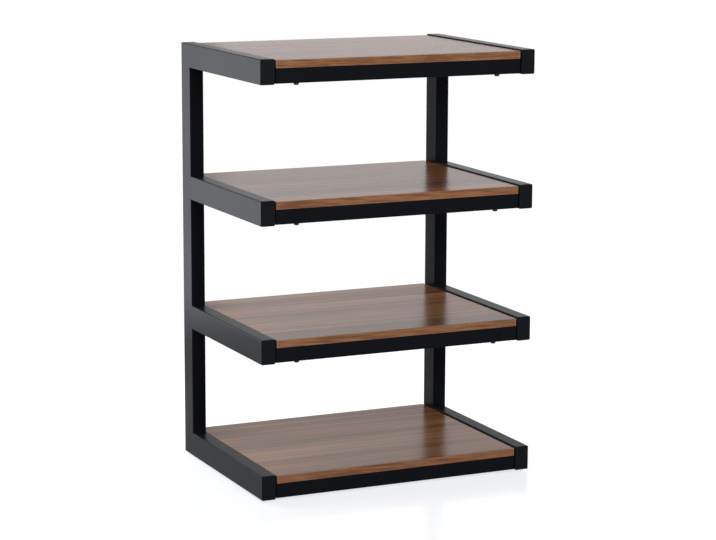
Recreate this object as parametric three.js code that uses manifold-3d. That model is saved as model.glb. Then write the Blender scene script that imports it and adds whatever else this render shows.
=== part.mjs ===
// Audio equipment rack: four walnut boards on black steel rails between two comb-shaped side frames.
// Millimetres, +Z up, +X to the right and +Y to the rear, origin on the floor under the middle.
import * as THREE from "three";
import { mergeVertices } from "three/addons/utils/BufferGeometryUtils.js";
import Module from "manifold-3d";

const wasm = await Module();
wasm.setup();

// Overall size
const rackWidth = 600;
const rackDepth = 430;
const frameHeight = 875;
const tierCount = 4;

// Side frame tube, used deep side along the depth in a post and upright in an arm
const tubeDeep = 50;
const tubeWide = 30;
const tubeWall = 2;
const tubeCorner = 2.5;
const weldEase = 0.7;

// Plastic cap in the front end of each arm
const capPlate = 2.5;
const capEdge = 0.8;
const plugDepth = 14;
const plugWall = 2;
const plugClearance = 0.3;

// Cross rail under each board edge, with a bolting flange on both ends
const railTall = 30;
const railDeep = 20;
const railWall = 1.5;
const railCorner = 2;
const railInset = 2;
const flangeThick = 3;
const flangeSetback = 3;
const flangeTrim = 1;
const flangeEar = 30;
const flangeCorner = 5;
const flangeBoltBore = 6.6;

// Board
const boardThick = 16;
const boardDrop = 2.5;
const boardInset = 0.5;
const boardEndGap = 3;
const boardEdge = 1;

// Shelf screw: button head with a captive washer, up through the rail into the board. The bottom
// tier's heads are let into the rail, under its upper wall, so that they clear the floor.
const screwFromArm = 50;
const screwShank = 6;
const screwHead = 10.5;
const screwHeadTall = 3.3;
const screwRimShare = 1 / 3;
const screwCrownShare = 1 / 2;
const screwWasher = 12;
const screwWasherThick = 1.2;
const screwGrip = 10;
const screwSocket = 4;
const screwSocketDepth = 2;
const screwBore = 6.6;
const screwBoreSpare = 1;
const screwAccess = 14;

// Levelling foot: moulded base, threaded stem and the nut welded in the bottom arm
const footInset = 40;
const baseWidth = 18;
const baseThick = 4;
const baseEdge = 0.8;
const stemWidth = 8;
const stemLength = 28;
const stemTip = 1;
const stemSeat = 2;
const stemClearance = 0.3;
const nutAcross = 13;
const nutThick = 6.5;

// Fineness of the round shapes, and how far a cutter runs past what it cuts
const cornerSteps = 2;
const headSteps = 2;
const turnSteps = 12;
const overrun = 5;

// Places that follow from the sizes
const frameFoot = baseThick;
const frontY = -rackDepth / 2;
const rearY = rackDepth / 2;
const tierPitch = (frameHeight - tubeDeep) / (tierCount - 1);
const postX = (rackWidth - tubeWide) / 2;
const innerX = rackWidth / 2 - tubeWide;
const postFrontY = rearY - tubeDeep;
const armFrontY = frontY + capPlate;
const railBelowTop = boardDrop + boardThick + railTall;
const railLength = 2 * (innerX - flangeThick);
const railFrontY = frontY + railInset;
const railRearY = rearY - railInset;
const screwX = innerX - screwFromArm;

// Finishes
const finishes = {
  powderCoat: { color: 0x1d1f22, roughness: 0.45, metalness: 0.1 },
  walnut: { color: 0x8a5f45, roughness: 0.35, metalness: 0 },
  blackPlastic: { color: 0x1a1b1d, roughness: 0.5, metalness: 0 },
  blackSteel: { color: 0x2a2b2e, roughness: 0.4, metalness: 0.8 },
  zincSteel: { color: 0xa9abad, roughness: 0.35, metalness: 1 },
};

// Joins a closed geometry's shared vertices into a solid that can be cut and joined.
function solid(geometry) {
  const bare = geometry.clone();
  bare.deleteAttribute("normal");
  bare.deleteAttribute("uv");
  const merged = mergeVertices(bare);
  return new wasm.Manifold(
    new wasm.Mesh({
      numProp: 3,
      vertProperties: new Float32Array(merged.attributes.position.array),
      triVerts: new Uint32Array(merged.index.array),
    }),
  );
}

// Turns a solid back into a geometry with flat faces.
function surface(body) {
  const mesh = body.getMesh();
  const indexed = new THREE.BufferGeometry();
  indexed.setAttribute("position", new THREE.BufferAttribute(mesh.vertProperties, mesh.numProp));
  indexed.setIndex(new THREE.BufferAttribute(mesh.triVerts, 1));
  const geometry = indexed.toNonIndexed();
  geometry.computeVertexNormals();
  return geometry;
}

function named(name, geometry, finish) {
  const mesh = new THREE.Mesh(geometry, new THREE.MeshStandardMaterial(finishes[finish]));
  mesh.name = name;
  return mesh;
}

// A rectangle with round corners about the origin, drawn on a Shape or a hole's Path.
function roundedRectangle(outline, width, height, corner) {
  const x = width / 2 - corner;
  const y = height / 2 - corner;
  if (corner === 0) {
    return outline.moveTo(x, -y).lineTo(x, y).lineTo(-x, y).lineTo(-x, -y).closePath();
  }
  const quarter = Math.PI / 2;
  outline.absarc(x, -y, corner, -quarter, 0);
  outline.absarc(x, y, corner, 0, quarter);
  outline.absarc(-x, y, corner, quarter, 2 * quarter);
  outline.absarc(-x, -y, corner, 2 * quarter, 3 * quarter);
  return outline.closePath();
}

function extruded(shape, length) {
  return new THREE.ExtrudeGeometry(shape, {
    depth: length,
    bevelEnabled: false,
    curveSegments: cornerSteps,
  });
}

// A rectangular hollow section standing on the origin: width along X, height along Y, length along Z.
// It is round at its outer corners and square inside.
function hollowSection(width, height, wall, corner, length) {
  const shape = roundedRectangle(new THREE.Shape(), width, height, corner);
  shape.holes.push(roundedRectangle(new THREE.Path(), width - 2 * wall, height - 2 * wall, 0));
  return extruded(shape, length);
}

// A prism across the tube: its outline is a list of [y, z] points, and it runs along X.
function crossPrism(points, halfWidth) {
  const shape = new THREE.Shape(points.map(([y, z]) => new THREE.Vector2(y, z)));
  const geometry = extruded(shape, 2 * halfWidth);
  geometry.rotateZ(Math.PI / 2);
  geometry.rotateY(Math.PI / 2);
  geometry.translate(-halfWidth, 0, 0);
  return solid(geometry);
}

// An upright round bar or cutter between two heights.
function roundBar(diameter, x, y, low, high) {
  const geometry = new THREE.CylinderGeometry(diameter / 2, diameter / 2, high - low, turnSteps);
  geometry.rotateX(Math.PI / 2);
  geometry.translate(x, y, (low + high) / 2);
  return solid(geometry);
}

// The half of a mitred corner that is cut away. The mitre runs from the frame's outer corner at
// height outerZ to its inner corner, up or down by the tube's depth; side 1 takes the arm's waste
// and side -1 the post's.
function mitreWaste(outerZ, rise, side) {
  const outer = [rearY + overrun, outerZ - rise * overrun];
  const inner = [postFrontY - overrun, outerZ + rise * (tubeDeep + overrun)];
  const third = side > 0 ? [outer[0], inner[1]] : [inner[0], outer[1]];
  return crossPrism([outer, inner, third], tubeWide / 2 + overrun);
}

function tierTop(tier) {
  return tubeDeep + tier * tierPitch;
}

// The rear post of one side frame, mitred at both ends.
function postGeometry() {
  const tube = hollowSection(tubeWide, tubeDeep, tubeWall, tubeCorner, frameHeight);
  tube.translate(0, rearY - tubeDeep / 2, 0);
  return surface(
    solid(tube)
      .subtract(mitreWaste(0, 1, -1))
      .subtract(mitreWaste(frameHeight, -1, -1)),
  );
}

// One arm: mitred into the post at the bottom and the top tier, butted against it between them.
function armGeometry(tier) {
  const top = tierTop(tier);
  const ends = tier === 0 || tier === tierCount - 1;
  const backY = ends ? rearY : postFrontY + tubeCorner;
  const tube = hollowSection(tubeWide, tubeDeep, tubeWall, tubeCorner, backY - armFrontY);
  tube.rotateX(-Math.PI / 2);
  tube.translate(0, armFrontY, top - tubeDeep / 2);
  let arm = solid(tube);
  if (tier === tierCount - 1) arm = arm.subtract(mitreWaste(top, -1, 1));
  if (!ends) arm = arm.subtract(copeWaste(top));
  if (tier === 0) {
    arm = arm.subtract(mitreWaste(0, 1, 1));
    for (const y of footPlaces()) {
      arm = arm.subtract(roundBar(stemWidth + 2 * stemClearance, 0, y, -overrun, tubeWall + overrun));
    }
  }
  return surface(arm);
}

// The post's outline, a little squarer at the corners, that a butted arm's end is coped to.
function copeWaste(top) {
  const corner = tubeCorner - weldEase;
  const outline = roundedRectangle(new THREE.Shape(), tubeWide, tubeDeep, corner);
  const geometry = extruded(outline, tubeDeep + 2 * overrun);
  geometry.translate(0, rearY - tubeDeep / 2, top - tubeDeep - overrun);
  return solid(geometry);
}

function footPlaces() {
  return [frontY + footInset, rearY - footInset];
}

// The cap's eased plate and the hollow plug behind it; the plate's face is at the origin, plug to +Y.
function capGeometry() {
  const eased = new THREE.ExtrudeGeometry(
    roundedRectangle(
      new THREE.Shape(),
      tubeWide - 2 * capEdge,
      tubeDeep - 2 * capEdge,
      tubeCorner - capEdge,
    ),
    {
      depth: capPlate - 2 * capEdge,
      bevelThickness: capEdge,
      bevelSize: capEdge,
      bevelSegments: 1,
      curveSegments: cornerSteps,
    },
  );
  eased.translate(0, 0, capEdge);
  const square = extruded(
    roundedRectangle(new THREE.Shape(), tubeWide, tubeDeep, tubeCorner),
    capPlate - capEdge,
  );
  const plug = hollowSection(
    tubeWide - 2 * (tubeWall + plugClearance),
    tubeDeep - 2 * (tubeWall + plugClearance),
    plugWall,
    0,
    plugDepth + capEdge,
  );
  plug.rotateY(Math.PI);
  plug.translate(0, 0, capEdge);
  const cap = surface(solid(eased).add(solid(square)).add(solid(plug)));
  cap.rotateX(Math.PI / 2);
  cap.translate(0, capPlate, 0);
  return cap;
}

// A cross rail about the origin with its flanges, whose ears point to +Y. Where the screws are let
// in, the lower wall is open below them.
function railGeometry(letIn) {
  const tube = hollowSection(railTall, railDeep, railWall, railCorner, railLength);
  tube.rotateY(Math.PI / 2);
  tube.translate(-railLength / 2, 0, 0);
  let rail = solid(tube);
  const flangeTall = railTall - 2 * flangeTrim;
  const flangeDeep = railDeep - flangeSetback + flangeEar;
  const earY = (railDeep + flangeEar) / 2;
  const plateY = (flangeSetback + flangeEar) / 2;
  const plate = solid(
    extruded(roundedRectangle(new THREE.Shape(), flangeTall, flangeDeep, flangeCorner), flangeThick),
  );
  const bore = roundBar(flangeBoltBore, 0, earY - plateY, -overrun, flangeThick + overrun);
  for (const side of [-1, 1]) {
    const flange = surface(plate.subtract(bore));
    flange.rotateY(Math.PI / 2);
    flange.translate(side > 0 ? railLength / 2 : -railLength / 2 - flangeThick, plateY, 0);
    rail = rail.add(solid(flange));
  }
  for (const x of [-screwX, screwX]) {
    const reach = railTall / 2 + overrun;
    rail = rail.subtract(roundBar(screwBore, x, 0, -reach, reach));
    if (letIn) rail = rail.subtract(roundBar(screwAccess, x, 0, -reach, 0));
  }
  return surface(rail);
}

// A board with eased front and rear edges, about its own middle, with blind screw holes below.
function boardGeometry() {
  const width = 2 * (innerX - boardEndGap);
  const depth = rackDepth - 2 * boardInset;
  const section = roundedRectangle(new THREE.Shape(), boardThick, depth, boardEdge);
  const slab = extruded(section, width);
  slab.rotateY(Math.PI / 2);
  slab.translate(-width / 2, 0, 0);
  let board = solid(slab);
  const under = -boardThick / 2;
  for (const [x, y] of screwPlaces()) {
    board = board.subtract(
      roundBar(screwBore, x, y, under - overrun, under + screwGrip + screwBoreSpare),
    );
  }
  return surface(board);
}

function screwPlaces() {
  const y = railRearY - railDeep / 2;
  return [
    [-screwX, -y],
    [screwX, -y],
    [-screwX, y],
    [screwX, y],
  ];
}

// A hexagonal outline by its width across the flats.
function hexagon(across) {
  const corner = across / Math.sqrt(3);
  const points = [];
  for (let i = 0; i < 6; i++) {
    const angle = (i * Math.PI) / 3;
    points.push(new THREE.Vector2(corner * Math.cos(angle), corner * Math.sin(angle)));
  }
  return new THREE.Shape(points);
}

// Spins a profile of [radius, height] points about the upright axis.
function turned(profile) {
  const points = profile.map(([radius, height]) => new THREE.Vector2(radius, height));
  const geometry = new THREE.LatheGeometry(points, turnSteps);
  geometry.rotateX(Math.PI / 2);
  return solid(geometry);
}

// The screw with the washer's upper face, its seat in or on the rail, at the origin.
function screwGeometry(metalThick) {
  const low = -screwWasherThick - screwHeadTall;
  const reach = metalThick + screwGrip;
  const radius = screwHead / 2;
  const crown = radius * screwCrownShare;
  const domeTall = screwHeadTall * (1 - screwRimShare);
  const profile = [[0, low]];
  for (let i = 0; i <= headSteps; i++) {
    const angle = (i / headSteps) * (Math.PI / 2);
    profile.push([
      crown + (radius - crown) * Math.sin(angle),
      low + domeTall * (1 - Math.cos(angle)),
    ]);
  }
  profile.push(
    [radius, -screwWasherThick],
    [screwWasher / 2, -screwWasherThick],
    [screwWasher / 2, 0],
    [screwShank / 2, 0],
    [screwShank / 2, reach],
    [0, reach],
  );
  const socket = extruded(hexagon(screwSocket), screwSocketDepth + overrun);
  socket.translate(0, 0, low - overrun);
  return surface(turned(profile).subtract(solid(socket)));
}

// The foot's moulded base on the floor, with the blind seat of its stem.
function baseGeometry() {
  const radius = baseWidth / 2;
  const seat = stemWidth / 2 + stemClearance;
  const seatZ = baseThick - stemSeat;
  return surface(
    turned([
      [0, 0],
      [radius - baseEdge, 0],
      [radius, baseEdge],
      [radius, baseThick - baseEdge],
      [radius - baseEdge, baseThick],
      [seat, baseThick],
      [seat, seatZ],
      [0, seatZ],
    ]),
  );
}

function stemGeometry() {
  const radius = stemWidth / 2;
  const low = baseThick - stemSeat;
  return surface(
    turned([
      [0, low],
      [radius, low],
      [radius, low + stemLength - stemTip],
      [radius - stemTip, low + stemLength],
      [0, low + stemLength],
    ]),
  );
}

function nutGeometry() {
  const bore = roundBar(stemWidth + 2 * stemClearance, 0, 0, -overrun, nutThick + overrun);
  return surface(solid(extruded(hexagon(nutAcross), nutThick)).subtract(bore));
}

const rack = new THREE.Group();

// Side frames: post, arms and caps
for (const [side, x] of [
  ["left", -postX],
  ["right", postX],
]) {
  const frame = new THREE.Group();
  frame.position.set(x, 0, frameFoot);
  frame.add(named(`${side}_post`, postGeometry(), "powderCoat"));
  for (let tier = 0; tier < tierCount; tier++) {
    frame.add(named(`${side}_arm_${tier + 1}`, armGeometry(tier), "powderCoat"));
    const cap = named(`${side}_arm_cap_${tier + 1}`, capGeometry(), "blackPlastic");
    cap.position.set(0, frontY, tierTop(tier) - tubeDeep / 2);
    frame.add(cap);
  }
  rack.add(frame);
}

// Tiers: board, two rails and the screws that hold the board down
for (let tier = 0; tier < tierCount; tier++) {
  const letIn = tier === 0;
  const metalThick = letIn ? railWall : railTall;
  const top = frameFoot + tierTop(tier);
  const group = new THREE.Group();
  group.position.set(0, 0, top);
  const board = named(`shelf_board_${tier + 1}`, boardGeometry(), "walnut");
  board.position.set(0, 0, -boardDrop - boardThick / 2);
  const front = named(`front_rail_${tier + 1}`, railGeometry(letIn), "powderCoat");
  front.position.set(0, railFrontY + railDeep / 2, railTall / 2 - railBelowTop);
  const rear = named(`rear_rail_${tier + 1}`, railGeometry(letIn), "powderCoat");
  rear.position.set(0, railRearY - railDeep / 2, railTall / 2 - railBelowTop);
  rear.rotation.z = Math.PI;
  group.add(board, front, rear);
  for (const [x, y] of screwPlaces()) {
    const place = `${y < 0 ? "front" : "rear"}_${x < 0 ? "left" : "right"}`;
    const screw = named(`shelf_screw_${tier + 1}_${place}`, screwGeometry(metalThick), "blackSteel");
    screw.position.set(x, y, railTall - metalThick - railBelowTop);
    group.add(screw);
  }
  rack.add(group);
}

// Levelling feet under the bottom arms
for (const [side, x] of [
  ["left", -postX],
  ["right", postX],
]) {
  for (const y of footPlaces()) {
    const place = `${y < 0 ? "front" : "rear"}_${side}`;
    const foot = new THREE.Group();
    foot.position.set(x, y, 0);
    const nut = named(`foot_nut_${place}`, nutGeometry(), "zincSteel");
    nut.position.z = frameFoot + tubeWall;
    foot.add(
      named(`foot_base_${place}`, baseGeometry(), "blackPlastic"),
      named(`foot_stem_${place}`, stemGeometry(), "zincSteel"),
      nut,
    );
    rack.add(foot);
  }
}

export default rack;
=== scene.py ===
"""Looks of a four-tier audio rack, built around its packed construction model.

Sizes are in metres in the construction model's own frame: +Z up, +X to the right, +Y to the rear.
Each sub-assembly is a class that reads its places there, builds its meshes and dresses them.
"""

from __future__ import annotations

import logging
import math
from dataclasses import dataclass, replace
from enum import Enum
from typing import Any, Callable, Iterable, Sequence

import bmesh
import bpy
from mathutils import Matrix, Vector

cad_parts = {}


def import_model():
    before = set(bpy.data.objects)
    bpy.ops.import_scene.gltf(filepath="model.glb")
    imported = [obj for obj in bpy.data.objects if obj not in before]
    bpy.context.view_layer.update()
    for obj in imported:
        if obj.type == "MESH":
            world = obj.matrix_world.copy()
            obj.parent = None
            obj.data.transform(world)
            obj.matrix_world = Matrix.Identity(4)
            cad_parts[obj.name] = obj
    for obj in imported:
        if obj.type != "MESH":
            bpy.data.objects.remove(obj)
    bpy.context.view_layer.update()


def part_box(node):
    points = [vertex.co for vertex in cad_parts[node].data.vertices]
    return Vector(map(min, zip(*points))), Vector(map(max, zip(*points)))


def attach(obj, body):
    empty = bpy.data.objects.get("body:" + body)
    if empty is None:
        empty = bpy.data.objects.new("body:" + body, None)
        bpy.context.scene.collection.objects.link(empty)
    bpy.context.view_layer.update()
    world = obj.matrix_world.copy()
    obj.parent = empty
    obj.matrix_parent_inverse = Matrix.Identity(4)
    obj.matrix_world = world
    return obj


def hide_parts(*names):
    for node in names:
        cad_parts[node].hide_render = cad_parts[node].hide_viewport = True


LOG = logging.getLogger("rack")
RACK = "rack"
LOWEST, HIGHEST = 1, 4
TIERS = range(LOWEST, HIGHEST + 1)
QUARTER_TURN = math.pi / 2
SHARP = math.radians(60)
CREASE = math.radians(32)
MERGE_GAP = 1e-7
NEAR = 1e-6
CUT_GAP = 1e-8
HALF = 0.5
WHITE = (1.0, 1.0, 1.0)
MIX_SHARE, MIX_FIRST, MIX_SECOND, MIX_RESULT = 0, 6, 7, 2
Pair = tuple[float, float]
Triple = tuple[float, float, float]
Colour = Triple
Inputs = dict[int | str, Any]


class Way(Enum):
    """A way along an axis, with a word for names."""

    @property
    def word(self) -> str:
        """Its word in a piece's name."""
        return self.name.lower()


class Side(Way):
    """The two side frames, with the way that each lies along X."""

    LEFT = -1
    RIGHT = 1


class End(Way):
    """The front and the rear of the rack, with the way that each lies along Y."""

    FRONT = -1
    REAR = 1


class Slot(Enum):
    """The record's material slots."""

    POWDER_COAT = "powder_coat"
    WALNUT = "walnut_board"
    CAP = "cap_plastic"
    SCREW = "screw_steel"
    FOOT = "foot_plastic"
    ZINC = "zinc_steel"


@dataclass(frozen=True)
class Finish:
    """A material and the record's slot for it."""

    material: bpy.types.Material
    slot: Slot


@dataclass(frozen=True)
class Extent:
    """The box of a construction node at rest."""

    low: Vector
    high: Vector

    @classmethod
    def of(cls, node: str) -> Extent:
        """The box of the node with that name."""
        return cls(*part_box(node))

    @property
    def centre(self) -> Vector:
        """The middle of the box."""
        return (self.low + self.high) / 2

    @property
    def size(self) -> Vector:
        """The box's three lengths."""
        return self.high - self.low

    def inside(self, end: End, reach: float) -> float:
        """The place along Y that far in from the box's front or rear."""
        return self.low.y + reach if end is End.FRONT else self.high.y - reach


def only(kind: type, geom: Iterable[Any]) -> list[Any]:
    """What is of one kind, such as the points, among what a mesh operator made."""
    return [g for g in geom if isinstance(g, kind)]


def arc(centre: Pair, wide: float, tall: float, steps: int) -> list[Pair]:
    """A quarter of an ellipse in a turned profile, from below its centre out to its side.

    Args:
        centre: Its centre's radius and height.
        wide: Its reach outwards.
        tall: Its reach downwards, or upwards where it is negative.
        steps: The number of flats.

    Returns:
        The points.
    """
    angles = (step / steps * QUARTER_TURN for step in range(steps + 1))
    return [(centre[0] + wide * math.sin(a), centre[1] - tall * math.cos(a)) for a in angles]


def scene_object(name: str, data: bpy.types.ID) -> bpy.types.Object:
    """Puts a new object in the scene.

    Args:
        name: Its name.
        data: Its mesh, lamp or lens.

    Returns:
        The object.
    """
    thing = bpy.data.objects.new(name, data)
    bpy.context.scene.collection.objects.link(thing)
    return thing


class Workpiece:
    """A mesh being shaped, with the operations that the rack's pieces share."""

    def __init__(self) -> None:
        """Starts with nothing."""
        self.bm = bmesh.new()

    @classmethod
    def plate(cls, width: float, height: float, corner: float = 0.0, steps: int = 4) -> Workpiece:
        """A flat face about the origin, with round corners.

        Args:
            width: Its length along X.
            height: Its length along Y.
            corner: The radius of its corners.
            steps: The straight pieces in each corner.

        Returns:
            The face.
        """
        piece = cls()
        bmesh.ops.create_grid(piece.bm, x_segments=1, y_segments=1, size=HALF)
        bmesh.ops.scale(piece.bm, vec=(width, height, 1.0), verts=piece.bm.verts)
        if corner > 0:
            piece.ease(piece.bm.verts, corner, steps, "VERTICES")
        return piece

    @classmethod
    def bar(cls, radius: float, steps: int, length: float) -> Workpiece:
        """A round bar that stands on the origin.

        Args:
            radius: The distance of its corners from its axis.
            steps: The number of its corners.
            length: Its length along Z.

        Returns:
            The closed body.
        """
        piece = cls()
        bmesh.ops.create_circle(piece.bm, cap_ends=True, segments=steps, radius=radius)
        return piece.raised(length)

    @classmethod
    def section(
        cls, width: float, height: float, corner: float, wall: float, length: float
    ) -> Workpiece:
        """A rectangular hollow section that stands on the origin, open at both ends.

        Args:
            width: Its outer length along X.
            height: Its outer length along Y.
            corner: Its outer corner radius.
            wall: The thickness of its wall.
            length: Its length along Z.

        Returns:
            The section as one closed body.
        """
        piece = cls.plate(width, height, corner)
        core = piece.bm.faces[:]
        bmesh.ops.inset_region(
            piece.bm, faces=core, thickness=wall, use_boundary=True, use_even_offset=True
        )
        bmesh.ops.delete(piece.bm, geom=core, context="FACES")
        return piece.raised(length)

    @classmethod
    def spun(cls, profile: Sequence[Pair], steps: int, climb: float = 0.0) -> Workpiece:
        """A profile spun once about the Z axis.

        Args:
            profile: Points of radius and height.
            steps: The number of steps in the turn.
            climb: How far a screw climbs in each step, or 0 for a turned body.

        Returns:
            The surface, joined to itself where it doesn't climb.
        """
        piece = cls()
        points = [piece.bm.verts.new((radius, 0.0, height)) for radius, height in profile]
        edges = [piece.bm.edges.new(pair) for pair in zip(points, points[1:])]
        bmesh.ops.spin(
            piece.bm,
            geom=points + edges, cent=(0, 0, 0), axis=(0, 0, 1), dvec=(0, 0, climb),
            angle=2 * math.pi, steps=steps, use_merge=climb == 0,
        )
        return piece

    def raised(self, length: float) -> Workpiece:
        """Extrudes the flat faces along Z into a closed body.

        Args:
            length: How far they go.

        Returns:
            This piece.
        """
        made = bmesh.ops.extrude_face_region(self.bm, geom=self.bm.faces[:])["geom"]
        bmesh.ops.translate(self.bm, vec=(0, 0, length), verts=only(bmesh.types.BMVert, made))
        return self.closed()

    def closed(self) -> Workpiece:
        """Merges doubled points and turns the faces outwards.

        Returns:
            This piece.
        """
        bmesh.ops.remove_doubles(self.bm, verts=self.bm.verts, dist=MERGE_GAP)
        bmesh.ops.recalc_face_normals(self.bm, faces=self.bm.faces)
        return self

    def turn(self, angle: float, axis: str) -> Workpiece:
        """Turns the piece about an axis through the origin.

        Args:
            angle: The angle in radians.
            axis: X, Y or Z.

        Returns:
            This piece.
        """
        matrix = Matrix.Rotation(angle, 3, axis)
        bmesh.ops.rotate(self.bm, cent=(0, 0, 0), matrix=matrix, verts=self.bm.verts)
        return self

    def shift(self, x: float = 0.0, y: float = 0.0, z: float = 0.0) -> Workpiece:
        """Moves the piece by x, y and z, and returns it."""
        bmesh.ops.translate(self.bm, vec=(x, y, z), verts=self.bm.verts)
        return self

    def ease(
        self, geom: Iterable[Any], radius: float, steps: int, affect: str = "EDGES"
    ) -> Workpiece:
        """Rounds edges or points.

        Args:
            geom: What is rounded.
            radius: The radius of the round.
            steps: The flats in it.
            affect: EDGES or VERTICES.

        Returns:
            This piece.
        """
        bmesh.ops.bevel(
            self.bm,
            geom=list(geom), offset=radius, offset_type="OFFSET", affect=affect,
            segments=steps, profile=0.5, clamp_overlap=True, material=-1,
        )
        return self

    def sharp_edges(self) -> list[bmesh.types.BMEdge]:
        """The edges whose two faces meet at a sharp angle."""
        return [e for e in self.bm.edges if e.is_manifold and e.calc_face_angle() > SHARP]

    def edges_at(self, axis: int, *places: float) -> list[bmesh.types.BMEdge]:
        """The sharp edges that lie whole at one place along an axis, such as a face's rim.

        Args:
            axis: 0, 1 or 2 for X, Y or Z.
            places: The places, of which an edge lies at one.

        Returns:
            The edges.
        """
        return [
            e
            for place in places
            for e in self.sharp_edges()
            if all(abs(v.co[axis] - place) < NEAR for v in e.verts)
        ]

    def slice(self, point: Vector, normal: Vector, hollow: bool = False) -> Workpiece:
        """Cuts off what lies beyond a plane, and closes the cut.

        Args:
            point: A point of the plane.
            normal: The plane's normal, towards the waste.
            hollow: True if the cut runs through both walls of a tube.

        Returns:
            This piece.
        """
        cut = bmesh.ops.bisect_plane(
            self.bm,
            geom=self.bm.verts[:] + self.bm.edges[:] + self.bm.faces[:],
            dist=CUT_GAP, plane_co=point, plane_no=normal, clear_outer=True,
        )["geom_cut"]
        rim = [e for e in only(bmesh.types.BMEdge, cut) if e.is_boundary]
        if hollow:
            bmesh.ops.bridge_loops(self.bm, edges=rim)
        else:
            bmesh.ops.holes_fill(self.bm, edges=rim, sides=0)
        return self.closed()

    def cut(self, *tools: Workpiece) -> Workpiece:
        """Takes other bodies out of this one.

        Args:
            tools: The bodies that are taken away.

        Returns:
            This piece.
        """
        cutter = Workpiece()
        for tool in tools:
            cutter.add(tool)
        stock = scene_object("stock", self.mesh("stock"))
        waste = scene_object("waste", cutter.mesh("waste"))
        modifier = stock.modifiers.new("cut", "BOOLEAN")
        modifier.operation = "DIFFERENCE"
        modifier.solver = "EXACT"
        modifier.object = waste
        bpy.context.view_layer.update()
        result = stock.evaluated_get(bpy.context.evaluated_depsgraph_get())
        self.bm.clear()
        self.bm.from_mesh(result.to_mesh())
        result.to_mesh_clear()
        for thing in (stock, waste):
            mesh = thing.data
            bpy.data.objects.remove(thing)
            bpy.data.meshes.remove(mesh)
        return self.closed()

    def add(self, other: Workpiece) -> Workpiece:
        """Takes in a copy of another piece as a body of its own.

        Args:
            other: The piece that is copied.

        Returns:
            This piece.
        """
        mesh = other.mesh("part")
        self.bm.from_mesh(mesh)
        bpy.data.meshes.remove(mesh)
        return self

    def copy(self) -> Workpiece:
        """A second piece of the same shape."""
        return Workpiece().add(self)

    def mesh(self, name: str) -> bpy.types.Mesh:
        """The shape as a Blender mesh.

        Args:
            name: The mesh's name.

        Returns:
            The mesh.
        """
        mesh = bpy.data.meshes.new(name)
        self.bm.to_mesh(mesh)
        return mesh

    def finish(
        self, name: str, finish: Finish, nodes: Sequence[str] = (), body: str = RACK
    ) -> None:
        """Makes the shape a dressed piece that rides on a body.

        Args:
            name: The piece's name.
            finish: What it is dressed in.
            nodes: The construction nodes that it stands for.
            body: The construction body that it moves with.
        """
        mesh = self.mesh(name)
        mesh.shade_smooth()
        mesh.set_sharp_from_angle(angle=CREASE)
        mesh.materials.append(finish.material)
        piece = scene_object(name, mesh)
        piece.modifiers.new("even_shading", "WEIGHTED_NORMAL").keep_sharp = True
        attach(piece, body)
        if nodes:
            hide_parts(*nodes)
        LOG.info("%s: %d faces on %s", name, len(mesh.polygons), body)


def joiner(operation: str, swapped: bool = False) -> Callable[[Value, Any], Value]:
    """An operator of Value.

    Args:
        operation: The maths node's operation.
        swapped: True for a reflected form, where the other operand comes first.

    Returns:
        The method.
    """

    def method(self: Value, other: Any) -> Value:
        """Joins this value and the other operand by the operation."""
        return self.maths(operation, *((other, self) if swapped else (self, other)))

    return method


class Value:
    """A shader socket that is added, scaled and powered like a number or a vector."""

    def __init__(self, graph: Graph, socket: bpy.types.NodeSocket) -> None:
        """Wraps a socket of one graph."""
        self.graph = graph
        self.socket = socket

    def maths(self, operation: str, *operands: Any) -> Value:
        """Joins operands by a Math node, or a Vector Math node where one is a vector.

        Args:
            operation: The node's operation.
            operands: Values, numbers or tuples.

        Returns:
            The node's result.
        """
        wide = any(
            isinstance(v, tuple) or (isinstance(v, Value) and v.socket.type != "VALUE")
            for v in operands
        )
        kind = "ShaderNodeVectorMath" if wide else "ShaderNodeMath"
        if wide:
            operands = [(v, v, v) if isinstance(v, (int, float)) else v for v in operands]
        return self.graph.node(kind, {"operation": operation}, dict(enumerate(operands)))

    __add__ = __radd__ = joiner("ADD")
    __sub__ = joiner("SUBTRACT")
    __rsub__ = joiner("SUBTRACT", swapped=True)
    __mul__ = __rmul__ = joiner("MULTIPLY")
    __truediv__ = joiner("DIVIDE")
    __pow__ = joiner("POWER")

    def __abs__(self) -> Value:
        """The size without its sign."""
        return self.maths("ABSOLUTE", self)

    def xyz(self) -> tuple[Value, Value, Value]:
        """The three parts of a vector."""
        made = self.graph.place_node("ShaderNodeSeparateXYZ", {}, {0: self})
        return tuple(Value(self.graph, s) for s in made.outputs)

    def ramp(self, low: float, high: float) -> Value:
        """A soft step from 0 at low to 1 at high."""
        inputs = {"Value": self, "From Min": low, "From Max": high}
        return self.graph.node("ShaderNodeMapRange", {"interpolation_type": "SMOOTHSTEP"}, inputs)

    def swing(self, width: float) -> Value:
        """A value from 0 to 1 spread over a width about 0."""
        return (self - HALF) * width


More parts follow.
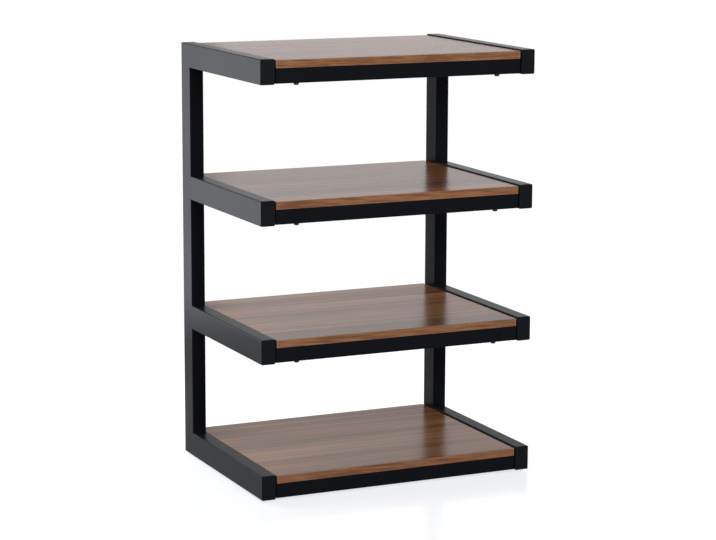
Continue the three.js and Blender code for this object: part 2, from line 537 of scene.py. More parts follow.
class Graph:
    """The nodes of one material or world."""

    def __init__(self, tree: bpy.types.NodeTree) -> None:
        """Clears the tree to start afresh."""
        self.tree = tree
        tree.nodes.clear()

    def place_node(self, kind: str, settings: dict[str, Any], inputs: Inputs) -> bpy.types.Node:
        """Adds any node.

        Args:
            kind: The node's type.
            settings: Its own settings, set first; stops are a ramp's places and colours.
            inputs: Values or links for its sockets, by number or name.

        Returns:
            The node.
        """
        node = self.tree.nodes.new(kind)
        for key, value in settings.items():
            if key == "stops":
                elements = node.color_ramp.elements
                while len(elements) < len(value):
                    elements.new(1.0)
                for element, (place, colour) in zip(elements, value):
                    element.position = place
                    element.color = (*colour, 1.0)
            else:
                setattr(node, key, value)
        for key, value in inputs.items():
            socket = node.inputs[key]
            if isinstance(value, Value):
                self.tree.links.new(value.socket, socket)
            elif socket.type == "RGBA" and isinstance(value, tuple):
                socket.default_value = (*value, 1.0)
            else:
                socket.default_value = value
        return node

    def node(
        self, kind: str, settings: dict[str, Any], inputs: Inputs, output: int | str = 0
    ) -> Value:
        """Adds any node, as place_node does, and gives the output of that number or name."""
        return Value(self, self.place_node(kind, settings, inputs).outputs[output])

    def place(self) -> Value:
        """The place on the object, in metres."""
        return self.node("ShaderNodeTexCoord", {}, {}, "Object")

    def backdrop_seen(self) -> Value:
        """Tells the rays that see the backdrop from those that only light the rack.

        Returns:
            1 for a ray from the camera, off a gloss or through glass, and 0 for any other.
        """
        rays = self.place_node("ShaderNodeLightPath", {}, {})
        camera, gloss, glass = (
            Value(self, rays.outputs[name])
            for name in ("Is Camera Ray", "Is Glossy Ray", "Is Transmission Ray")
        )
        return 1.0 - (1.0 - camera) * (1.0 - gloss) * (1.0 - glass)

    def joined(self, x: Any, y: Any, z: Any) -> Value:
        """A vector from three numbers or values."""
        return self.node("ShaderNodeCombineXYZ", {}, {0: x, 1: y, 2: z})

    def blend(self, share: Any, first: Any, second: Any) -> Value:
        """A mix of two colours, by the second one's share."""
        inputs = {MIX_SHARE: share, MIX_FIRST: first, MIX_SECOND: second}
        return self.node("ShaderNodeMix", {"data_type": "RGBA"}, inputs, MIX_RESULT)

    def bump(self, height: Value, depth: float, strength: float) -> Value:
        """A normal from a height from 0 to 1, where 1 is a depth in metres, by its strength."""
        inputs = {"Strength": strength, "Distance": depth, "Height": height}
        return self.node("ShaderNodeBump", {}, inputs)


@dataclass(frozen=True)
class Noise:
    """A cloudy noise: its waves in each metre, or along each axis, and its finer layers."""

    waves: float | Triple
    detail: float = 2.0
    rough: float = 0.5

    def at(self, place: Value) -> Value:
        """The noise at a place.

        Args:
            place: The place, in metres.

        Returns:
            A value from 0 to 1.
        """
        inputs = {"Vector": place * self.waves, "Scale": 1.0}
        inputs |= {"Detail": self.detail, "Roughness": self.rough}
        return place.graph.node("ShaderNodeTexNoise", {}, inputs)


class Look:
    """A procedural look with a name, made as one material."""

    name: str

    def sockets(self, graph: Graph) -> Inputs:
        """Values and links for the shader's sockets, which each look gives itself."""
        raise NotImplementedError

    def material(self) -> bpy.types.Material:
        """Builds the look.

        Returns:
            The material, whose graph ends in one shader.
        """
        material = bpy.data.materials.new(self.name)
        material.use_nodes = True
        graph = Graph(material.node_tree)
        shader = graph.node("ShaderNodeBsdfPrincipled", {}, self.sockets(graph))
        graph.place_node("ShaderNodeOutputMaterial", {}, {"Surface": shader})
        return material


@dataclass(frozen=True)
class Coating(Look):
    """A finish of two clouded tones with an uneven sheen and a fine texture."""

    name: str
    tones: tuple[Colour, Colour]
    cloud: Noise
    texture: Noise
    texture_depth: float
    texture_share: float
    roughness: float
    roughness_play: float
    ripple: Noise | None = None
    gloss: float = 0.5
    metallic: float = 0.0

    def sockets(self, graph: Graph) -> Inputs:
        """The tones by the cloud, and the sheen by the ripple where there is one.

        Args:
            graph: The material's graph.

        Returns:
            What feeds each of the shader's sockets.
        """
        place = graph.place()
        sheen = cloud = self.cloud.at(place)
        texture = self.texture.at(place)
        if self.ripple:
            sheen = self.ripple.at(place)
            texture = texture + sheen
        return {
            "Base Color": graph.blend(cloud, *self.tones),
            "Metallic": self.metallic,
            "Roughness": self.roughness + sheen.swing(self.roughness_play),
            "Specular IOR Level": self.gloss,
            "Normal": graph.bump(texture, self.texture_depth, self.texture_share),
        }


POWDER_COAT = Coating(
    "satin_black_powder_coat",
    tones=((0.0056, 0.0064, 0.0086), (0.0075, 0.0086, 0.0114)),
    cloud=Noise(22.0, 3.0), ripple=Noise(260.0), texture=Noise(1500.0, 2.0, 0.6),
    texture_depth=0.00006, texture_share=0.35, roughness=0.33, roughness_play=0.1, gloss=0.026,
)
CAP_PLASTIC = Coating(
    "black_cap_plastic",
    tones=((0.0060, 0.0069, 0.0092), (0.0075, 0.008625, 0.0115)),
    cloud=Noise(90.0), texture=Noise(2300.0, 1.0),
    texture_depth=0.00004, texture_share=0.4, roughness=0.42, roughness_play=0.08, gloss=0.05,
)
FOOT_PLASTIC = replace(CAP_PLASTIC, name="black_foot_plastic", roughness=0.55)
OXIDE_STEEL = Coating(
    "black_oxide_steel",
    tones=((0.020, 0.020, 0.023), (0.045, 0.045, 0.050)),
    cloud=Noise(320.0, 3.0), texture=Noise((420.0, 420.0, 4200.0), 1.0),
    texture_depth=0.00002, texture_share=0.35, roughness=0.38, roughness_play=0.16, metallic=1.0,
)
ZINC_STEEL = replace(
    OXIDE_STEEL, name="zinc_steel", roughness=0.30,
    tones=((0.42, 0.43, 0.44), (0.62, 0.62, 0.60)),
)


@dataclass(frozen=True)
class Walnut(Look):
    """Satin-lacquered walnut boards of several strips, with the grain along X and edged fronts."""

    tier: int
    top: float
    half_width: float
    half_depth: float
    dark: Colour = (0.099, 0.038, 0.015)
    middle: Colour = (0.202, 0.086, 0.034)
    light: Colour = (0.335, 0.159, 0.077)
    tone_places: Triple = (0.12, 0.50, 0.90)
    warm: Colour = (1.12, 0.94, 0.84)
    warm_share: float = 0.30
    edge_dark: Colour = (0.189, 0.068, 0.024)
    edge_light: Colour = (0.344, 0.146, 0.059)
    # Painted highlight colour, laid on the edging's top and bottom arrises and at the board's
    # ends.
    edge_rim: Colour = (0.440, 0.240, 0.140)
    strip: float = 0.078
    strip_unevenness: float = 0.6
    strip_play: float = 0.45
    log_shift: float = 3.0
    seed_step: float = 7.31
    sway: Noise = Noise((1.1, 6.0, 1.0))
    sway_width: float = 0.020
    broad: Noise = Noise((0.9, 16.0, 16.0))
    broad_share: float = 0.34
    streak: Noise = Noise((1.5, 62.0, 62.0), 3.0, 0.6)
    streak_share: float = 0.36
    streak_step: Pair = (0.30, 0.70)
    ring_share: float = 0.14
    fine: Noise = Noise((4.0, 520.0, 520.0), 2.0, 0.6)
    fine_share: float = 0.16
    pores: Noise = Noise((30.0, 2600.0, 2600.0), 1.0)
    pore_step: Pair = (0.60, 0.74)
    pore_darkening: float = 0.55
    pore_depth: float = 0.00003
    pore_share: float = 0.2
    edge_lines: Noise = Noise((13.0, 1.0, 1.0), 3.0, 0.6)
    edge_waves: float = 230.0
    edge_slant: float = 8.0
    edge_step: Pair = (0.36, 0.62)
    edge_band: float = 0.0011
    edge_soft: float = 0.0004
    thick: float = 0.016
    # How strong the edging's painted highlight is, and how far it reaches in from the edging's
    # faces and the board's ends.
    rim_share: float = 0.45
    rim_high: Pair = (0.0016, 0.0004)
    rim_wide: Pair = (0.0024, 0.0008)
    lacquer: float = 0.51
    lacquer_play: float = 0.14
    pore_dulling: float = 0.10
    roughness: float = 0.24
    roughness_play: float = 0.12

    @property
    def name(self) -> str:
        """The look's name, with its tier."""
        return f"satin_walnut_{self.tier}"

    def sockets(self, graph: Graph) -> Inputs:
        """The strips' figure and tones, the edging, the pores and the lacquer.

        Args:
            graph: The material's graph.

        Returns:
            What feeds each of the shader's sockets.
        """
        x, y, z = graph.place().xyz()
        deep = z - self.top
        seed = self.tier * self.seed_step
        strip = graph.node(
            "ShaderNodeTexVoronoi",
            {"voronoi_dimensions": "1D"},
            {"W": y / self.strip + seed, "Scale": 1.0, "Randomness": self.strip_unevenness},
            "Color",
        )
        tone, log, warmth = strip.xyz()
        along = x + log * self.log_shift
        sway = self.sway.at(graph.joined(along, y, deep))
        place = graph.joined(along, y + sway.swing(self.sway_width), deep)
        broad = self.broad.at(place).ramp(*self.streak_step) * self.broad_share
        streak = self.streak.at(place).ramp(*self.streak_step) * self.streak_share
        fine = self.fine.at(place)
        pores = self.pores.at(place).ramp(*self.pore_step)
        rings = WalnutRings().shade(place, log) * self.ring_share
        figure = broad + streak + rings + fine * self.fine_share + tone.swing(self.strip_play)
        tones = list(zip(self.tone_places, (self.dark, self.middle, self.light)))
        board = graph.node("ShaderNodeValToRGB", {"stops": tones}, {"Fac": figure})
        tinted = graph.blend(warmth * self.warm_share, board, board * self.warm)
        banded = abs(y).ramp(self.half_depth - self.edge_band, self.half_depth - self.edge_soft)
        colour = graph.blend(banded, tinted, self._edge(x, along, deep, log))
        coat = self.lacquer + (HALF - fine) * self.lacquer_play - pores * self.pore_dulling
        return {
            "Base Color": graph.blend(pores * self.pore_darkening, colour, self.dark),
            "Roughness": self.roughness + (fine + pores).swing(self.roughness_play),
            "Specular IOR Level": 0.0,
            "Coat Weight": coat,
            "Coat Roughness": self.roughness,
            "Normal": graph.bump(fine * HALF - pores, self.pore_depth, self.pore_share),
        }

    def _edge(self, x: Value, along: Value, deep: Value, log: Value) -> Value:
        """The edging strip's colour, with its lines and a painted highlight along its top and
        bottom arrises and at its ends.

        Args:
            x: The place along the board.
            along: The way along the grain.
            deep: The way down through the board.
            log: The strip's own number.

        Returns:
            The colour.
        """
        graph = x.graph
        down = deep * self.edge_waves + x * self.edge_slant
        lines = self.edge_lines.at(graph.joined(along, log, down)).ramp(*self.edge_step)
        edge = graph.blend(lines, self.edge_dark, self.edge_light)
        middle = self.thick / 2
        # Painted highlight: the edging is lighter within about 1.6 mm of its top and bottom faces,
        # and within 2.4 mm of the board's ends.
        rim = abs(deep + middle).ramp(*(middle - inset for inset in self.rim_high))
        painted_end_highlight = abs(x).ramp(*(self.half_width - inset for inset in self.rim_wide))
        return graph.blend((rim + painted_end_highlight) * self.rim_share, edge, self.edge_rim)


@dataclass(frozen=True)
class WalnutRings:
    """Year rings of a slightly tilted log, which a sawn face shows as long pointed arches."""

    spread: float = 0.35
    lean: float = 0.035
    heart: float = 0.05
    heart_play: float = 0.06
    pitch: float = 900.0
    wobble: Noise = Noise((3.0, 20.0, 20.0))
    wobble_turn: float = 6.0

    def shade(self, place: Value, log: Value) -> Value:
        """The rings at a place in the board.

        Args:
            place: The ways along the grain, across the board and down through it.
            log: The strip's own number, so that each is from another log.

        Returns:
            Light and dark rings from 0 to 1.
        """
        along, across, deep = place.xyz()
        offset = across - log * self.spread + along * self.lean
        heart = deep + self.heart + log * self.heart_play
        radius = (offset * offset + heart * heart) ** HALF
        phase = radius * self.pitch + self.wobble.at(place) * self.wobble_turn
        return phase.maths("SINE", phase) * HALF + HALF


class Finishes:
    """The rack's finishes but for the boards', which differ by tier."""

    def __init__(self) -> None:
        """Builds each finish once."""
        self.coat = Finish(POWDER_COAT.material(), Slot.POWDER_COAT)
        self.cap = Finish(CAP_PLASTIC.material(), Slot.CAP)
        self.foot = Finish(FOOT_PLASTIC.material(), Slot.FOOT)
        self.screw = Finish(OXIDE_STEEL.material(), Slot.SCREW)
        self.zinc = Finish(ZINC_STEEL.material(), Slot.ZINC)


@dataclass(frozen=True)
class WeldBead:
    """A coated fillet weld in an inside corner, with the ripples of its passes."""

    leg: float = 0.0030
    bulge_share: float = 0.18
    flats: int = 4
    ripple: float = 0.0016
    ripple_share: float = 0.06

    def shape(self, length: float) -> Workpiece:
        """A bead along Z from the origin, filling the corner between +X and +Y.

        Args:
            length: The bead's length.

        Returns:
            The closed body.
        """
        piece = Workpiece()
        corners = [(0, 0, 0), (self.leg, 0, 0), (0, self.leg, 0)]
        points = [piece.bm.verts.new(c) for c in corners]
        top = [piece.bm.faces.new(points)]
        toe = piece.bm.edges.get(points[1:])
        made = bmesh.ops.subdivide_edges(piece.bm, edges=[toe], cuts=self.flats - 1)
        for vert in only(bmesh.types.BMVert, made["geom_inner"]):
            share = vert.co.y / self.leg
            vert.co.xy = vert.co.xy * (1 + self.bulge_share * math.sin(math.pi * share))
        count = max(2, round(length / self.ripple) * 2)
        wide = 1.0
        for step in range(1, count + 1):
            geom = bmesh.ops.extrude_face_region(piece.bm, geom=top)["geom"]
            top = only(bmesh.types.BMFace, geom)
            rim = only(bmesh.types.BMVert, geom)
            bmesh.ops.translate(piece.bm, vec=(0, 0, length / count), verts=rim)
            target = 1.0 if step % 2 == 0 else 1 - self.ripple_share
            bmesh.ops.scale(piece.bm, vec=(target / wide, target / wide, 1.0), verts=rim)
            wide = target
        return piece.closed()


@dataclass
class SideFrame:
    """One welded comb of rectangular tube: the rear post, its four arms and their end caps."""

    side: Side
    finishes: Finishes
    corner: float = 0.0025
    wall: float = 0.0020
    mitre: float = math.radians(45)
    mitre_flat: float = math.radians(22.5)
    weld_round: float = 0.0016
    cope_gap: float = 0.00003
    cap_edge: float = 0.0008
    cap_edge_steps: int = 3
    plug_gap: float = 0.0003
    plug_wall: float = 0.0020
    hole_steps: int = 32
    stem_gap: float = 0.0003

    def build(self) -> None:
        """Makes every piece of the side frame."""
        self.post_box = Extent.of(self._node("post"))
        self.wide = self.post_box.size.x
        self.deep = self.post_box.size.y
        self._post()
        for tier in TIERS:
            self._arm(tier)
            self._cap(tier)
        self._welds()

    def _node(self, word: str) -> str:
        """The name of one of this side's construction nodes, and the start of a piece's."""
        return f"{self.side.word}_{word}"

    def _section(self, length: float) -> Workpiece:
        """The frame's tube standing on the origin."""
        return Workpiece.section(self.wide, self.deep, self.corner, self.wall, length)

    def _mitre(self, piece: Workpiece, top: float, rise: int, way: int) -> None:
        """Mitres a tube at the rear corner of the frame and rounds the ground weld.

        Args:
            piece: The tube, in place along Y and Z.
            top: The height of the frame's outer corner.
            rise: 1 where the corner is the frame's lowest, -1 where it is its highest.
            way: 1 for an arm, -1 for the post.
        """
        rear = self.post_box.high.y
        normal = Vector((0, way, rise * way)).normalized()
        piece.slice(Vector((0, rear, top)), normal, hollow=True)
        middle = Vector((0, rear - self.weld_round, top + rise * self.weld_round))
        for turn in (self.mitre, self.mitre + way * self.mitre_flat):
            out = Vector((0, math.cos(turn), -rise * math.sin(turn)))
            piece.slice(middle + out * self.weld_round, out)

    def _post(self) -> None:
        """The rear post, mitred at its foot and its head."""
        box = self.post_box
        post = self._section(box.size.z).shift(z=box.low.z, y=box.centre.y)
        self._mitre(post, box.low.z, 1, -1)
        self._mitre(post, box.high.z, -1, -1)
        post.shift(x=box.centre.x)
        post.finish(self._node("post_tube"), self.finishes.coat, [self._node("post")])

    def _arm(self, tier: int) -> None:
        """One arm: mitred at the top and bottom tier, coped against the post between them.

        Args:
            tier: The arm's tier, from 1 at the bottom.
        """
        node = self._node(f"arm_{tier}")
        box = Extent.of(node)
        post = self.post_box
        arm = self._section(box.size.y).turn(-QUARTER_TURN, "X")
        arm.shift(y=box.low.y, z=box.centre.z)
        if tier == LOWEST:
            self._mitre(arm, post.low.z, 1, 1)
            arm.cut(*self._stem_holes())
        elif tier == HIGHEST:
            self._mitre(arm, post.high.z, -1, 1)
        else:
            gap = 2 * self.cope_gap
            outline = Workpiece.plate(self.wide + gap, self.deep + gap, self.corner)
            outline.raised(2 * self.deep)
            arm.cut(outline.shift(y=post.centre.y, z=box.centre.z - self.deep))
        arm.shift(x=box.centre.x).finish(f"{node}_tube", self.finishes.coat, [node])

    def _stem_holes(self) -> list[Workpiece]:
        """Cutters for the two levelling feet's stems.

        Returns:
            A round bar at each hole's place.
        """
        bars = []
        reach = self.deep / 4
        for end in End:
            stem = Extent.of(f"foot_stem_{end.word}_{self.side.word}")
            radius = stem.size.x / 2 + self.stem_gap
            bar = Workpiece.bar(radius, self.hole_steps, 2 * reach)
            bars.append(bar.shift(y=stem.centre.y, z=self.post_box.low.z - reach))
        return bars

    def _cap(self, tier: int) -> None:
        """The plastic cap in an arm's front end: an eased plate with a hollow plug behind it.

        Args:
            tier: The arm's tier.
        """
        node = self._node(f"arm_cap_{tier}")
        box = Extent.of(node)
        thick = Extent.of(self._node(f"arm_{tier}")).low.y - box.low.y
        cap = Workpiece.plate(self.wide, self.deep, self.corner).raised(thick)
        cap.ease(cap.edges_at(2, 0.0), self.cap_edge, self.cap_edge_steps)
        inset = 2 * (self.wall + self.plug_gap)
        plug = Workpiece.section(
            self.wide - inset, self.deep - inset, 0.0, self.plug_wall, box.size.y - thick
        )
        cap.add(plug.shift(z=thick)).turn(-QUARTER_TURN, "X")
        cap.shift(x=box.centre.x, y=box.low.y, z=box.centre.z)
        cap.finish(self._node(f"arm_{tier}_end_cap"), self.finishes.cap, [node])

    def _welds(self) -> None:
        """The fillet welds above and below the arms, against the post's front face."""
        bead = WeldBead()
        length = self.wide - 2 * self.corner
        welds = Workpiece()
        for tier in TIERS:
            arm = Extent.of(self._node(f"arm_{tier}"))
            for height, angle, mitred in (
                (arm.high.z, math.pi, HIGHEST),
                (arm.low.z, -QUARTER_TURN, LOWEST),
            ):
                if tier != mitred:
                    line = bead.shape(length).turn(QUARTER_TURN, "Y").turn(angle, "X")
                    welds.add(line.shift(x=-length / 2, y=self.post_box.low.y, z=height))
        welds.shift(x=self.post_box.centre.x)
        welds.finish(self._node("frame_welds"), self.finishes.coat)


@dataclass(frozen=True)
class ScrewThread:
    """A single-start screw thread."""

    radius: float
    pitch: float
    depth_share: float = 0.6
    crest_share: float = 0.14
    steps: int = 16
    lead_in: int = 2

    def rod(self, low: float, high: float) -> Workpiece:
        """A threaded rod about the Z axis with flat ends.

        Args:
            low: The height of its lower end.
            high: The height of its upper end.

        Returns:
            The closed body.
        """
        root = self.radius - self.pitch * self.depth_share
        half = self.crest_share * self.pitch / 2
        turns = math.ceil((high - low) / self.pitch) + self.lead_in + 1
        points: list[Pair] = []
        for turn in range(turns):
            base = low + (turn - self.lead_in) * self.pitch
            points += [
                (root, base + half),
                (self.radius, base + self.pitch / 2 - half),
                (self.radius, base + self.pitch / 2 + half),
                (root, base + self.pitch - half),
            ]
        piece = Workpiece.spun(points, self.steps, self.pitch / self.steps)
        bmesh.ops.remove_doubles(piece.bm, verts=piece.bm.verts, dist=NEAR)
        piece.slice(Vector((0, 0, low)), Vector((0, 0, -1)))
        return piece.slice(Vector((0, 0, high)), Vector((0, 0, 1)))


@dataclass(frozen=True)
class ButtonScrew:
    """A socket button-head screw with a captive washer."""

    shank: float = 0.0060
    pitch: float = 0.0010
    head: float = 0.0105
    head_tall: float = 0.0033
    rim_share: float = 1 / 3
    crown_share: float = 0.5
    washer: float = 0.0120
    washer_thick: float = 0.0012
    washer_edge: float = 0.00025
    socket: float = 0.0040
    socket_deep: float = 0.0020
    socket_sides: int = 6
    dome_steps: int = 6
    steps: int = 32

    def shape(self, reach: float) -> Workpiece:
        """The screw with its washer's seat at the origin and its shank along +Z.

        Args:
            reach: The shank's length past the seat.

        Returns:
            The screw's head and washer, and its threaded shank.
        """
        low = -self.washer_thick - self.head_tall
        radius = self.head / 2
        crown = radius * self.crown_share
        dome = self.head_tall * (1 - self.rim_share)
        rim = self.washer / 2
        edge = self.washer_edge
        profile = [
            (0.0, low),
            *arc((crown, low + dome), radius - crown, dome, self.dome_steps),
            (radius, -self.washer_thick),
            (rim - edge, -self.washer_thick),
            (rim, -self.washer_thick + edge),
            (rim, -edge),
            (rim - edge, 0.0),
            (0.0, 0.0),
        ]
        screw = Workpiece.spun(profile, self.steps).closed()
        corner = self.socket / math.sqrt(3)
        key = Workpiece.bar(corner, self.socket_sides, 2 * self.socket_deep)
        screw.cut(key.shift(z=low - self.socket_deep))
        return screw.add(ScrewThread(self.shank / 2, self.pitch).rod(0.0, reach))


@dataclass(frozen=True)
class CrossRail:
    """A rectangular cross rail with a bolting flange welded on each end."""

    tall: float = 0.030
    deep: float = 0.020
    corner: float = 0.002
    wall: float = 0.0015
    flange_thick: float = 0.003
    flange_setback: float = 0.003
    flange_trim: float = 0.001
    flange_ear: float = 0.030
    flange_corner: float = 0.005
    flange_corner_steps: int = 6
    flange_edge: float = 0.0004
    flange_edge_steps: int = 2
    bore: float = 0.0066
    access: float = 0.014
    bore_steps: int = 24
    weld_leg: float = 0.0026

    @property
    def ear_middle(self) -> float:
        """How far the ear's bolt hole is from the rail's middle."""
        return (self.deep + self.flange_ear) / 2

    def shape(self, length: float, screw_x: float, let_in: bool) -> Workpiece:
        """The rail about the origin, with its ears towards +Y.

        Args:
            length: The tube's length between its flanges.
            screw_x: How far the shelf screws' holes are from the middle.
            let_in: True where the lower wall is open for the screws' heads.

        Returns:
            The tube, two flanges and two welds.
        """
        rail = Workpiece.section(self.tall, self.deep, self.corner, self.wall, length)
        rail.turn(QUARTER_TURN, "Y").shift(x=-length / 2)
        for x in (-screw_x, screw_x):
            rail.cut(self._bit(self.bore, 2 * self.tall).shift(x=x, z=-self.tall))
            if let_in:
                rail.cut(self._bit(self.access, self.tall).shift(x=x, z=-self.tall))
        seam = self.tall - 2 * (self.flange_trim + self.corner)
        for side in Side:
            start = length / 2 if side is Side.RIGHT else -length / 2 - self.flange_thick
            rail.add(self._flange().shift(x=start))
            bead = WeldBead(leg=self.weld_leg).shape(seam)
            if side is Side.RIGHT:
                bead.turn(QUARTER_TURN, "Z")
            rail.add(bead.shift(x=side.value * length / 2, y=self.deep / 2, z=-seam / 2))
        return rail

    def _bit(self, across: float, length: float) -> Workpiece:
        """A round cutter for a hole, standing on the origin."""
        return Workpiece.bar(across / 2, self.bore_steps, length)

    def _flange(self) -> Workpiece:
        """An eased flange plate with its bolt hole.

        Returns:
            The plate, lying along +X from the origin.
        """
        tall = self.tall - 2 * self.flange_trim
        deep = self.deep - self.flange_setback + self.flange_ear
        middle = (self.flange_setback + self.flange_ear) / 2
        plate = Workpiece.plate(tall, deep, self.flange_corner, self.flange_corner_steps)
        plate.raised(self.flange_thick)
        plate.ease(plate.sharp_edges(), self.flange_edge, self.flange_edge_steps)
        hole = self._bit(self.bore, 3 * self.flange_thick)
        plate.cut(hole.shift(y=self.ear_middle - middle, z=-self.flange_thick))
        return plate.turn(QUARTER_TURN, "Y").shift(y=middle)


@dataclass
class ShelfTier:
    """One walnut board with the two rails that carry it and the screws that hold them."""

    tier: int
    finishes: Finishes
    rail_sizes: CrossRail
    screw_sizes: ButtonScrew
    long_edge: float = 0.0010
    long_edge_steps: int = 3
    end_edge: float = 0.0005
    end_edge_steps: int = 2
    hole: float = 0.0064
    hole_spare: float = 0.0010
    hole_run_out: float = 0.002
    hole_steps: int = 20
    bolt_reach: float = 0.013

    def build(self) -> None:
        """Makes every piece of the tier."""
        self._board()
        box = Extent.of(f"front_rail_{self.tier}")
        sample = Extent.of(self._screw_node(End.FRONT, Side.RIGHT))
        sizes = self.screw_sizes
        self.seat = sample.low.z + sizes.head_tall + sizes.washer_thick
        self.screw = sizes.shape(sample.high.z - self.seat)
        self.bolt = sizes.shape(self.bolt_reach)
        length = box.size.x - 2 * self.rail_sizes.flange_thick
        let_in = sample.low.z > box.low.z
        self.rail = self.rail_sizes.shape(length, sample.centre.x, let_in)
        for end in End:
            self._rail(end)
            for side in Side:
                self._shelf_screw(end, side)
                self._rail_bolt(end, side)

    def _screw_node(self, end: End, side: Side) -> str:
        """The name of a shelf screw's construction node."""
        return f"shelf_screw_{self.tier}_{end.word}_{side.word}"

    def _board(self) -> None:
        """The board with eased edges and blind screw holes below."""
        name = f"shelf_board_{self.tier}"
        box = Extent.of(name)
        half_wide, half_deep = box.size.x / 2, box.size.y / 2
        board = Workpiece.plate(box.size.x, box.size.y).raised(box.size.z)
        long_edges = [
            e
            for e in board.edges_at(1, half_deep, -half_deep)
            if abs(e.verts[0].co.x - e.verts[1].co.x) > half_wide
        ]
        board.ease(long_edges, self.long_edge, self.long_edge_steps)
        ends = board.edges_at(0, half_wide, -half_wide)
        board.ease(ends, self.end_edge, self.end_edge_steps)
        bits = []
        for end in End:
            for side in Side:
                screw = Extent.of(self._screw_node(end, side))
                deep = screw.high.z - box.low.z + self.hole_spare + self.hole_run_out
                bit = Workpiece.bar(self.hole / 2, self.hole_steps, deep)
                bits.append(bit.shift(screw.centre.x, screw.centre.y, -self.hole_run_out))
        board.cut(*bits).shift(z=box.low.z)
        walnut = Walnut(self.tier, box.high.z, half_wide, half_deep).material()
        board.finish(f"tier_{self.tier}_walnut_board", Finish(walnut, Slot.WALNUT), [name])

    def _rail(self, end: End) -> None:
        """One of the two rails, with its ears towards the middle of the rack.

        Args:
            end: The front or the rear one.
        """
        name = f"{end.word}_rail_{self.tier}"
        box = Extent.of(name)
        rail = self.rail.copy()
        if end is End.REAR:
            rail.turn(math.pi, "Z")
        rail.shift(y=box.inside(end, self.rail_sizes.deep / 2), z=box.centre.z)
        rail.finish(f"tier_{self.tier}_{end.word}_rail_tube", self.finishes.coat, [name])

    def _shelf_screw(self, end: End, side: Side) -> None:
        """The screw up through a rail into the board.

        Args:
            end: The rail's end of the rack.
            side: The screw's side.
        """
        name = self._screw_node(end, side)
        box = Extent.of(name)
        screw = self.screw.copy().shift(box.centre.x, box.centre.y, self.seat)
        piece = f"tier_{self.tier}_{end.word}_{side.word}_shelf_screw"
        screw.finish(piece, self.finishes.screw, [name])

    def _rail_bolt(self, end: End, side: Side) -> None:
        """The bolt through a rail's flange into the side frame.

        Args:
            end: The rail's end of the rack.
            side: The side frame.
        """
        box = Extent.of(f"{end.word}_rail_{self.tier}")
        sizes = self.rail_sizes
        place = box.inside(end, sizes.deep / 2 + sizes.ear_middle)
        seat = side.value * (box.size.x / 2 - sizes.flange_thick)
        bolt = self.bolt.copy().turn(side.value * QUARTER_TURN, "Y")
        bolt.shift(seat, place, box.centre.z)
        piece = f"tier_{self.tier}_{end.word}_{side.word}_rail_bolt"
        bolt.finish(piece, self.finishes.screw)


@dataclass
class LevellingFoot:
    """One levelling foot: moulded base, threaded stem, and the welded nut that it turns in."""

    end: End
    side: Side
    finishes: Finishes
    edge: float = 0.0008
    edge_steps: int = 4
    recess: float = 0.0004
    recess_rim: float = 0.0022
    seat_gap: float = 0.0003
    steps: int = 64
    pitch: float = 0.00125
    thread_steps: int = 28

    def build(self) -> None:
        """Makes the foot's pieces and dresses its nut."""
        self.place = f"{self.end.word}_{self.side.word}"
        self.stem_box = Extent.of(f"foot_stem_{self.place}")
        self._base()
        self._stem()
        nut = bpy.data.objects[f"foot_nut_{self.place}"]
        nut.data.materials.clear()
        nut.data.materials.append(self.finishes.zinc.material)
        LOG.info("%s: dressed in %s", nut.name, self.finishes.zinc.material.name)

    def _base(self) -> None:
        """The round base with eased edges, a recess below and the stem's seat above."""
        box = Extent.of(f"foot_base_{self.place}")
        thick = box.size.z
        edge, inner = self.edge, box.size.x / 2 - self.edge
        hollow = inner - self.recess_rim
        seat = self.stem_box.size.x / 2 + self.seat_gap
        floor = self.stem_box.low.z - box.low.z
        profile = [
            (0.0, self.recess),
            (hollow - self.recess, self.recess),
            (hollow, 0.0),
            *arc((inner, edge), edge, edge, self.edge_steps),
            *reversed(arc((inner, thick - edge), edge, -edge, self.edge_steps)),
            (seat, thick),
            (seat, floor),
            (0.0, floor),
        ]
        base = Workpiece.spun(profile, self.steps).closed()
        base.shift(box.centre.x, box.centre.y, box.low.z)
        self._hang(base, "pad", "base", self.finishes.foot)

    def _stem(self) -> None:
        """The threaded stem."""
        box = self.stem_box
        thread = ScrewThread(box.size.x / 2, self.pitch, steps=self.thread_steps)
        stem = thread.rod(box.low.z, box.high.z).shift(box.centre.x, box.centre.y)
        self._hang(stem, "stud", "stem", self.finishes.zinc)

    def _hang(self, piece: Workpiece, word: str, node: str, finish: Finish) -> None:
        """Ends a piece of the foot, with its own word and its node's, on the foot's body."""
        nodes = [f"foot_{node}_{self.place}"]
        piece.finish(f"{self.place}_foot_{word}", finish, nodes, f"foot_{self.place}")


@dataclass(frozen=True)
class Softbox:
    """A plain rectangular lamp of even radiance."""

    name: str
    place: Triple
    aim: Triple
    wide: float
    tall: float
    radiance: float
    tint: Colour = WHITE

    def light(self) -> None:
        """Hangs the lamp, turned to its aim and unseen by the camera."""
        lamp = bpy.data.lights.new(self.name, "AREA")
        lamp.shape = "RECTANGLE"
        lamp.size = self.wide
        lamp.size_y = self.tall
        lamp.color = self.tint
        lamp.energy = self.radiance * math.pi * self.wide * self.tall
        holder = scene_object(self.name, lamp)
        way = Vector(self.aim) - Vector(self.place)
        turn = way.to_track_quat("-Z", "Y").to_matrix().to_4x4()
        holder.matrix_world = Matrix.Translation(self.place) @ turn
        holder.visible_camera = False


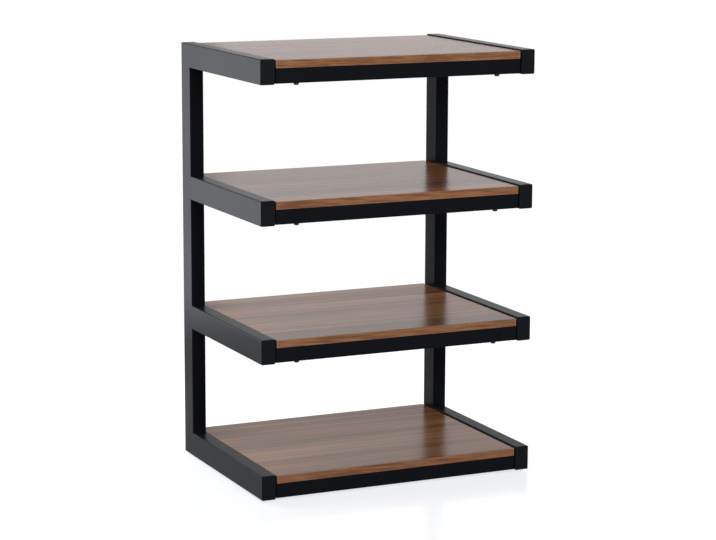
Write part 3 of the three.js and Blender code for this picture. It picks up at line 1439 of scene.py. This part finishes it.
@dataclass(frozen=True)
class PaleFloor(Look):
    """The seamless floor: white to the camera and in a gloss but for the rack's soft shadow."""

    name: str = "pale_paper"
    half_width: float = 45.0
    paper: Colour = (0.42, 0.42, 0.42)
    paper_rear: Colour = (0.08, 0.08, 0.08)
    rear_step: Pair = (0.7, 1.6)
    middle: Pair = (-0.05, -0.20)
    far_step: Pair = (0.42, 0.75)
    lift_near: Colour = (0.80, 0.81, 0.83)
    lift_far: Colour = WHITE
    gloss: float = 0.5
    roughness: float = 0.18

    def lay(self) -> None:
        """Lays the floor under the rack."""
        sheet = Workpiece.plate(2 * self.half_width, 2 * self.half_width)
        floor = scene_object("studio_floor", sheet.mesh("studio_floor"))
        floor.data.materials.append(self.material())

    def sockets(self, graph: Graph) -> Inputs:
        """Matt grey paper, glossy near the rack and lifted to white where it is seen.

        Args:
            graph: The material's graph.

        Returns:
            What feeds each of the shader's sockets.
        """
        x, y, _ = graph.place().xyz()
        across, ahead = x - self.middle[0], y - self.middle[1]
        far = ((across * across + ahead * ahead) ** HALF).ramp(*self.far_step)
        lift = graph.blend(far, self.lift_near, self.lift_far)
        return {
            "Base Color": graph.blend(y.ramp(*self.rear_step), self.paper, self.paper_rear),
            "Roughness": 1.0,
            "Specular IOR Level": 0.0,
            "Coat Weight": (1.0 - far) * self.gloss,
            "Coat Roughness": self.roughness,
            "Emission Color": lift * graph.backdrop_seen(),
            "Emission Strength": 1.0,
        }


@dataclass(frozen=True)
class Studio:
    """The floor, the lamps, the world and the camera."""

    lens: float = 117.26
    view_reach: float = 200.0
    yaw: float = 24.889
    pitch: float = 10.350
    roll: float = 0.205
    camera_place: Triple = (-2.0064, -4.3408, 1.2850)
    sky_light: float = 0.22
    sky_tint: Colour = (0.95, 0.98, 1.03)
    lamps: tuple[Softbox, ...] = (
        Softbox(
            "rear_softbox", place=(1.85, 2.3, 1.17), aim=(0.25, 0.0, 0.85),
            wide=2.4, tall=0.5, radiance=1.0, tint=(0.97, 0.98, 1.02),
        ),
        Softbox(
            "left_softbox", place=(-0.87, 0.78, 0.67), aim=(-0.30, 0.0, 0.67),
            wide=0.85, tall=1.08, radiance=4.5, tint=(0.94, 0.97, 1.05),
        ),
        Softbox(
            "overhead_softbox", place=(0.0, -0.2, 3.0), aim=(0.0, 0.0, 0.4),
            wide=2.4, tall=2.4, radiance=0.1,
        ),
        Softbox(
            "front_softbox", place=(-0.35, -3.5, 2.05), aim=(0.0, 0.0, 0.45),
            wide=1.8, tall=1.4, radiance=9.3,
        ),
    )

    def build(self) -> None:
        """Sets up everything around the rack."""
        PaleFloor().lay()
        for lamp in self.lamps:
            lamp.light()
        self._world()
        self._camera()
        bpy.context.scene.view_settings.view_transform = "Standard"

    def _world(self) -> None:
        """A plain sky: white to the camera and in a gloss, dimmer and tinted as a light."""
        world = bpy.data.worlds.new("studio_sky")
        world.use_nodes = True
        bpy.context.scene.world = world
        graph = Graph(world.node_tree)
        seen = graph.backdrop_seen()
        colour = graph.blend(seen, self.sky_tint, WHITE)
        strength = seen * (1.0 - self.sky_light) + self.sky_light
        sky = graph.node("ShaderNodeBackground", {}, {"Color": colour, "Strength": strength})
        graph.place_node("ShaderNodeOutputWorld", {}, {"Surface": sky})

    def _camera(self) -> None:
        """The camera at the photograph's angle, turned down instead of shifted."""
        lens = bpy.data.cameras.new("photo_camera")
        lens.lens = self.lens
        lens.clip_end = self.view_reach
        camera = scene_object("photo_camera", lens)
        turn = Matrix.Rotation(-math.radians(self.yaw), 4, "Z")
        tilt = Matrix.Rotation(math.radians(90 - self.pitch), 4, "X")
        roll = Matrix.Rotation(math.radians(self.roll), 4, "Z")
        camera.matrix_world = Matrix.Translation(self.camera_place) @ turn @ tilt @ roll
        bpy.context.scene.camera = camera


def main() -> None:
    """Builds the rack, its studio and its camera."""
    logging.basicConfig(level=logging.INFO, format="%(name)s: %(message)s")
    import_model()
    finishes = Finishes()
    for side in Side:
        SideFrame(side, finishes).build()
    for tier in TIERS:
        ShelfTier(tier, finishes, CrossRail(), ButtonScrew()).build()
    for end in End:
        for side in Side:
            LevellingFoot(end, side, finishes).build()
    Studio().build()


if __name__ == "__main__":
    main()
